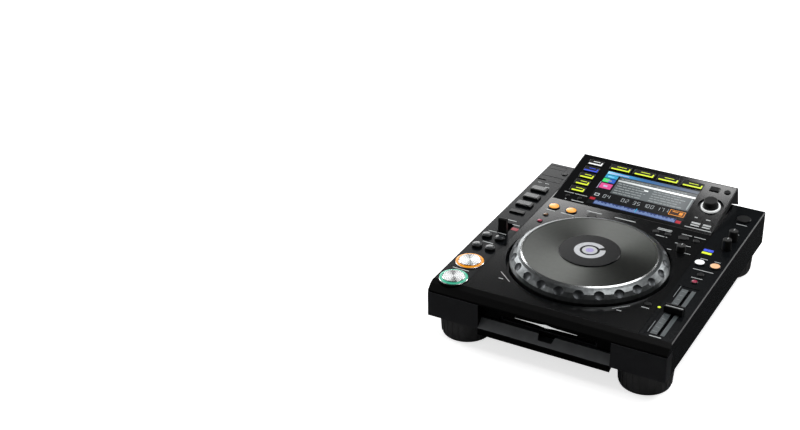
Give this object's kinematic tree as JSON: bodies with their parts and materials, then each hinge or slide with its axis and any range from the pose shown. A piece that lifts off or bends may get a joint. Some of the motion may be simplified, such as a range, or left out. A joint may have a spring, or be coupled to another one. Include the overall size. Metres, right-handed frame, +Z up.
{
  "type": "disc player",
  "caption": "Table-top disc player with a front disc slot, a jog wheel, a tilted display, push buttons, a tempo slider, flaps over two card and stick ports, and rear sockets.",
  "frame": {"origin": "bottom centre of the bounding box: on the table under the middle", "axes": "+X to the right, +Y to the back, +Z up"},
  "size_m": [0.32, 0.402, 0.099],
  "materials": {
    "deck_plastic": "satin moulded deck",
    "chassis_steel": "plated sheet steel",
    "front_plastic": "moulded front panel",
    "foot_rubber": "ribbed rubber",
    "display_plastic": "moulded display shell",
    "display_glass": "glossy display plate with its module",
    "drive_steel": "pressed steel drive case",
    "board": "circuit board with sockets",
    "jog_plastic": "dark satin ring",
    "jog_aluminium": "satin aluminium plate",
    "silver_plastic": "silver painted cap",
    "orange_cap": "lit translucent cap",
    "dark_plastic": "black moulded cap",
    "red_cap": "lit translucent cap",
    "white_cap": "lit translucent cap",
    "blue_cap": "lit translucent cap",
    "lime_cap": "lit translucent cap"
  },
  "bodies": {
    "casing": {"top_case": "deck_plastic", "bottom_chassis": "chassis_steel", "front_panel": "front_plastic", "feet": "foot_rubber", "display_housing": "display_plastic", "display_panel": "display_glass", "jog_display": "display_glass", "disc_drive": "drive_steel", "socket_board": "board"},
    "jog_wheel": {"jog_ring": "jog_plastic", "jog_plate": "jog_aluminium"},
    "track_back_button": {"track_back_button": "silver_plastic"},
    "track_forward_button": {"track_forward_button": "silver_plastic"},
    "search_back_button": {"search_back_button": "silver_plastic"},
    "search_forward_button": {"search_forward_button": "silver_plastic"},
    "loop_in_button": {"loop_in_button": "orange_cap"},
    "loop_out_button": {"loop_out_button": "orange_cap"},
    "reloop_button": {"reloop_button": "dark_plastic"},
    "slip_button": {"slip_button": "red_cap"},
    "quantize_button": {"quantize_button": "red_cap"},
    "call_back_button": {"call_back_button": "dark_plastic"},
    "call_forward_button": {"call_forward_button": "dark_plastic"},
    "delete_button": {"delete_button": "dark_plastic"},
    "memory_button": {"memory_button": "dark_plastic"},
    "usb_stop_button": {"usb_stop_button": "dark_plastic"},
    "jog_mode_button": {"jog_mode_button": "dark_plastic"},
    "sync_button": {"sync_button": "white_cap"},
    "master_button": {"master_button": "orange_cap"},
    "tempo_range_button": {"tempo_range_button": "dark_plastic"},
    "master_tempo_button": {"master_tempo_button": "red_cap"},
    "tempo_reset_button": {"tempo_reset_button": "dark_plastic"},
    "cue_button": {"cue_button": "silver_plastic"},
    "play_button": {"play_button": "silver_plastic"},
    "hot_key_1": {"hot_key_1": "silver_plastic"},
    "hot_key_2": {"hot_key_2": "silver_plastic"},
    "hot_key_3": {"hot_key_3": "silver_plastic"},
    "hot_key_mode": {"hot_key_mode": "dark_plastic"},
    "tag_button": {"tag_button": "silver_plastic"},
    "time_mode_button": {"time_mode_button": "dark_plastic"},
    "auto_cue_button": {"auto_cue_button": "dark_plastic"},
    "source_button_1": {"source_button_1": "white_cap"},
    "source_button_2": {"source_button_2": "blue_cap"},
    "source_button_3": {"source_button_3": "lime_cap"},
    "source_button_4": {"source_button_4": "lime_cap"},
    "source_button_5": {"source_button_5": "lime_cap"},
    "browse_button_1": {"browse_button_1": "lime_cap"},
    "browse_button_2": {"browse_button_2": "lime_cap"},
    "browse_button_3": {"browse_button_3": "lime_cap"},
    "browse_button_4": {"browse_button_4": "lime_cap"},
    "back_button": {"back_button": "dark_plastic"},
    "brake_knob": {"brake_knob": "dark_plastic"},
    "release_knob": {"release_knob": "dark_plastic"},
    "jog_adjust_knob": {"jog_adjust_knob": "dark_plastic"},
    "selector_shaft": {"selector_shaft": "dark_plastic"},
    "selector_knob": {"selector_knob": "dark_plastic"},
    "tempo_slider": {"tempo_slider": "dark_plastic"},
    "direction_lever": {"direction_lever": "dark_plastic"},
    "usb_cover": {"usb_cover": "dark_plastic"},
    "card_door": {"card_door": "dark_plastic"},
    "power_button": {"power_button": "dark_plastic"}
  },
  "joints": [
    {"name": "track_back_button_press", "type": "slide", "parent": "casing", "child": "track_back_button", "axis": [0, 0, -1], "range_m": [0, 0.0012], "stiffness_N_per_m": 300, "springref_m": -0.001},
    {"name": "track_forward_button_press", "type": "slide", "parent": "casing", "child": "track_forward_button", "axis": [0, 0, -1], "range_m": [0, 0.0012], "stiffness_N_per_m": 300, "springref_m": -0.001},
    {"name": "search_back_button_press", "type": "slide", "parent": "casing", "child": "search_back_button", "axis": [0, 0, -1], "range_m": [0, 0.0012], "stiffness_N_per_m": 300, "springref_m": -0.001},
    {"name": "search_forward_button_press", "type": "slide", "parent": "casing", "child": "search_forward_button", "axis": [0, 0, -1], "range_m": [0, 0.0012], "stiffness_N_per_m": 300, "springref_m": -0.001},
    {"name": "loop_in_button_press", "type": "slide", "parent": "casing", "child": "loop_in_button", "axis": [0, 0, -1], "range_m": [0, 0.0012], "stiffness_N_per_m": 300, "springref_m": -0.001},
    {"name": "loop_out_button_press", "type": "slide", "parent": "casing", "child": "loop_out_button", "axis": [0, 0, -1], "range_m": [0, 0.0012], "stiffness_N_per_m": 300, "springref_m": -0.001},
    {"name": "reloop_button_press", "type": "slide", "parent": "casing", "child": "reloop_button", "axis": [0, 0, -1], "range_m": [0, 0.0012], "stiffness_N_per_m": 300, "springref_m": -0.001},
    {"name": "slip_button_press", "type": "slide", "parent": "casing", "child": "slip_button", "axis": [0, 0, -1], "range_m": [0, 0.0012], "stiffness_N_per_m": 300, "springref_m": -0.001},
    {"name": "quantize_button_press", "type": "slide", "parent": "casing", "child": "quantize_button", "axis": [0, 0, -1], "range_m": [0, 0.0012], "stiffness_N_per_m": 300, "springref_m": -0.001},
    {"name": "call_back_button_press", "type": "slide", "parent": "casing", "child": "call_back_button", "axis": [0, 0, -1], "range_m": [0, 0.0012], "stiffness_N_per_m": 300, "springref_m": -0.001},
    {"name": "call_forward_button_press", "type": "slide", "parent": "casing", "child": "call_forward_button", "axis": [0, 0, -1], "range_m": [0, 0.0012], "stiffness_N_per_m": 300, "springref_m": -0.001},
    {"name": "delete_button_press", "type": "slide", "parent": "casing", "child": "delete_button", "axis": [0, 0, -1], "range_m": [0, 0.0012], "stiffness_N_per_m": 300, "springref_m": -0.001},
    {"name": "memory_button_press", "type": "slide", "parent": "casing", "child": "memory_button", "axis": [0, 0, -1], "range_m": [0, 0.0012], "stiffness_N_per_m": 300, "springref_m": -0.001},
    {"name": "usb_stop_button_press", "type": "slide", "parent": "casing", "child": "usb_stop_button", "axis": [0, 0, -1], "range_m": [0, 0.0012], "stiffness_N_per_m": 300, "springref_m": -0.001},
    {"name": "jog_mode_button_press", "type": "slide", "parent": "casing", "child": "jog_mode_button", "axis": [0, 0, -1], "range_m": [0, 0.0012], "stiffness_N_per_m": 300, "springref_m": -0.001},
    {"name": "sync_button_press", "type": "slide", "parent": "casing", "child": "sync_button", "axis": [0, 0, -1], "range_m": [0, 0.0012], "stiffness_N_per_m": 300, "springref_m": -0.001},
    {"name": "master_button_press", "type": "slide", "parent": "casing", "child": "master_button", "axis": [0, 0, -1], "range_m": [0, 0.0012], "stiffness_N_per_m": 300, "springref_m": -0.001},
    {"name": "tempo_range_button_press", "type": "slide", "parent": "casing", "child": "tempo_range_button", "axis": [0, 0, -1], "range_m": [0, 0.0012], "stiffness_N_per_m": 300, "springref_m": -0.001},
    {"name": "master_tempo_button_press", "type": "slide", "parent": "casing", "child": "master_tempo_button", "axis": [0, 0, -1], "range_m": [0, 0.0012], "stiffness_N_per_m": 300, "springref_m": -0.001},
    {"name": "tempo_reset_button_press", "type": "slide", "parent": "casing", "child": "tempo_reset_button", "axis": [0, 0, -1], "range_m": [0, 0.0012], "stiffness_N_per_m": 300, "springref_m": -0.001},
    {"name": "cue_button_press", "type": "slide", "parent": "casing", "child": "cue_button", "axis": [0, 0, -1], "range_m": [0, 0.0012], "stiffness_N_per_m": 300, "springref_m": -0.001},
    {"name": "play_button_press", "type": "slide", "parent": "casing", "child": "play_button", "axis": [0, 0, -1], "range_m": [0, 0.0012], "stiffness_N_per_m": 300, "springref_m": -0.001},
    {"name": "hot_key_1_press", "type": "slide", "parent": "casing", "child": "hot_key_1", "axis": [0, 0, -1], "range_m": [0, 0.0012], "stiffness_N_per_m": 300, "springref_m": -0.001},
    {"name": "hot_key_2_press", "type": "slide", "parent": "casing", "child": "hot_key_2", "axis": [0, 0, -1], "range_m": [0, 0.0012], "stiffness_N_per_m": 300, "springref_m": -0.001},
    {"name": "hot_key_3_press", "type": "slide", "parent": "casing", "child": "hot_key_3", "axis": [0, 0, -1], "range_m": [0, 0.0012], "stiffness_N_per_m": 300, "springref_m": -0.001},
    {"name": "hot_key_mode_press", "type": "slide", "parent": "casing", "child": "hot_key_mode", "axis": [0, 0, -1], "range_m": [0, 0.0012], "stiffness_N_per_m": 300, "springref_m": -0.001},
    {"name": "tag_button_press", "type": "slide", "parent": "casing", "child": "tag_button", "axis": [0, 0.165, -0.9863], "range_m": [0, 0.0012], "stiffness_N_per_m": 300, "springref_m": -0.001},
    {"name": "time_mode_button_press", "type": "slide", "parent": "casing", "child": "time_mode_button", "axis": [0, 0.165, -0.9863], "range_m": [0, 0.0012], "stiffness_N_per_m": 300, "springref_m": -0.001},
    {"name": "auto_cue_button_press", "type": "slide", "parent": "casing", "child": "auto_cue_button", "axis": [0, 0.165, -0.9863], "range_m": [0, 0.0012], "stiffness_N_per_m": 300, "springref_m": -0.001},
    {"name": "source_button_1_press", "type": "slide", "parent": "casing", "child": "source_button_1", "axis": [0, 0.165, -0.9863], "range_m": [0, 0.0012], "stiffness_N_per_m": 300, "springref_m": -0.001},
    {"name": "source_button_2_press", "type": "slide", "parent": "casing", "child": "source_button_2", "axis": [0, 0.165, -0.9863], "range_m": [0, 0.0012], "stiffness_N_per_m": 300, "springref_m": -0.001},
    {"name": "source_button_3_press", "type": "slide", "parent": "casing", "child": "source_button_3", "axis": [0, 0.165, -0.9863], "range_m": [0, 0.0012], "stiffness_N_per_m": 300, "springref_m": -0.001},
    {"name": "source_button_4_press", "type": "slide", "parent": "casing", "child": "source_button_4", "axis": [0, 0.165, -0.9863], "range_m": [0, 0.0012], "stiffness_N_per_m": 300, "springref_m": -0.001},
    {"name": "source_button_5_press", "type": "slide", "parent": "casing", "child": "source_button_5", "axis": [0, 0.165, -0.9863], "range_m": [0, 0.0012], "stiffness_N_per_m": 300, "springref_m": -0.001},
    {"name": "browse_button_1_press", "type": "slide", "parent": "casing", "child": "browse_button_1", "axis": [0, 0.165, -0.9863], "range_m": [0, 0.0012], "stiffness_N_per_m": 300, "springref_m": -0.001},
    {"name": "browse_button_2_press", "type": "slide", "parent": "casing", "child": "browse_button_2", "axis": [0, 0.165, -0.9863], "range_m": [0, 0.0012], "stiffness_N_per_m": 300, "springref_m": -0.001},
    {"name": "browse_button_3_press", "type": "slide", "parent": "casing", "child": "browse_button_3", "axis": [0, 0.165, -0.9863], "range_m": [0, 0.0012], "stiffness_N_per_m": 300, "springref_m": -0.001},
    {"name": "browse_button_4_press", "type": "slide", "parent": "casing", "child": "browse_button_4", "axis": [0, 0.165, -0.9863], "range_m": [0, 0.0012], "stiffness_N_per_m": 300, "springref_m": -0.001},
    {"name": "back_button_press", "type": "slide", "parent": "casing", "child": "back_button", "axis": [0, 0.165, -0.9863], "range_m": [0, 0.0012], "stiffness_N_per_m": 300, "springref_m": -0.001},
    {"name": "power_button_press", "type": "slide", "parent": "casing", "child": "power_button", "axis": [0, -1, 0], "range_m": [0, 0.0012], "stiffness_N_per_m": 300, "springref_m": -0.001},
    {"name": "selector_shaft_press", "type": "slide", "parent": "casing", "child": "selector_shaft", "axis": [0, 0.165, -0.9863], "range_m": [0, 0.001], "stiffness_N_per_m": 300, "springref_m": -0.001},
    {"name": "selector_turn", "type": "hinge", "parent": "selector_shaft", "child": "selector_knob", "pos_m": [0.093, 0.13935, 0.08823], "axis": [0, -0.165, 0.9863], "continuous": true},
    {"name": "brake_knob_turn", "type": "hinge", "parent": "casing", "child": "brake_knob", "pos_m": [0.145, 0.079, 0.0785], "axis": [0, 0, 1], "range_deg": [-140, 140]},
    {"name": "release_knob_turn", "type": "hinge", "parent": "casing", "child": "release_knob", "pos_m": [0.145, 0.053, 0.0785], "axis": [0, 0, 1], "range_deg": [-140, 140]},
    {"name": "jog_adjust_knob_turn", "type": "hinge", "parent": "casing", "child": "jog_adjust_knob", "pos_m": [0.094, 0.022, 0.0785], "axis": [0, 0, 1], "range_deg": [-140, 140]},
    {"name": "jog_turn", "type": "hinge", "parent": "casing", "child": "jog_wheel", "pos_m": [0, -0.0613, 0.0785], "axis": [0, 0, 1], "continuous": true},
    {"name": "tempo_slide", "type": "slide", "parent": "casing", "child": "tempo_slider", "axis": [0, 1, 0], "range_m": [-0.05, 0.05]},
    {"name": "direction_swing", "type": "hinge", "parent": "casing", "child": "direction_lever", "pos_m": [-0.134, -0.0395, 0.0645], "axis": [-1, 0, 0], "range_deg": [0, 30]},
    {"name": "usb_cover_hinge", "type": "hinge", "parent": "casing", "child": "usb_cover", "pos_m": [-0.1435, 0.1665, 0.0772], "axis": [-1, 0, 0], "range_deg": [0, 100]},
    {"name": "card_door_hinge", "type": "hinge", "parent": "casing", "child": "card_door", "pos_m": [-0.1395, 0.133, 0.0772], "axis": [-1, 0, 0], "range_deg": [0, 100]}
  ]
}
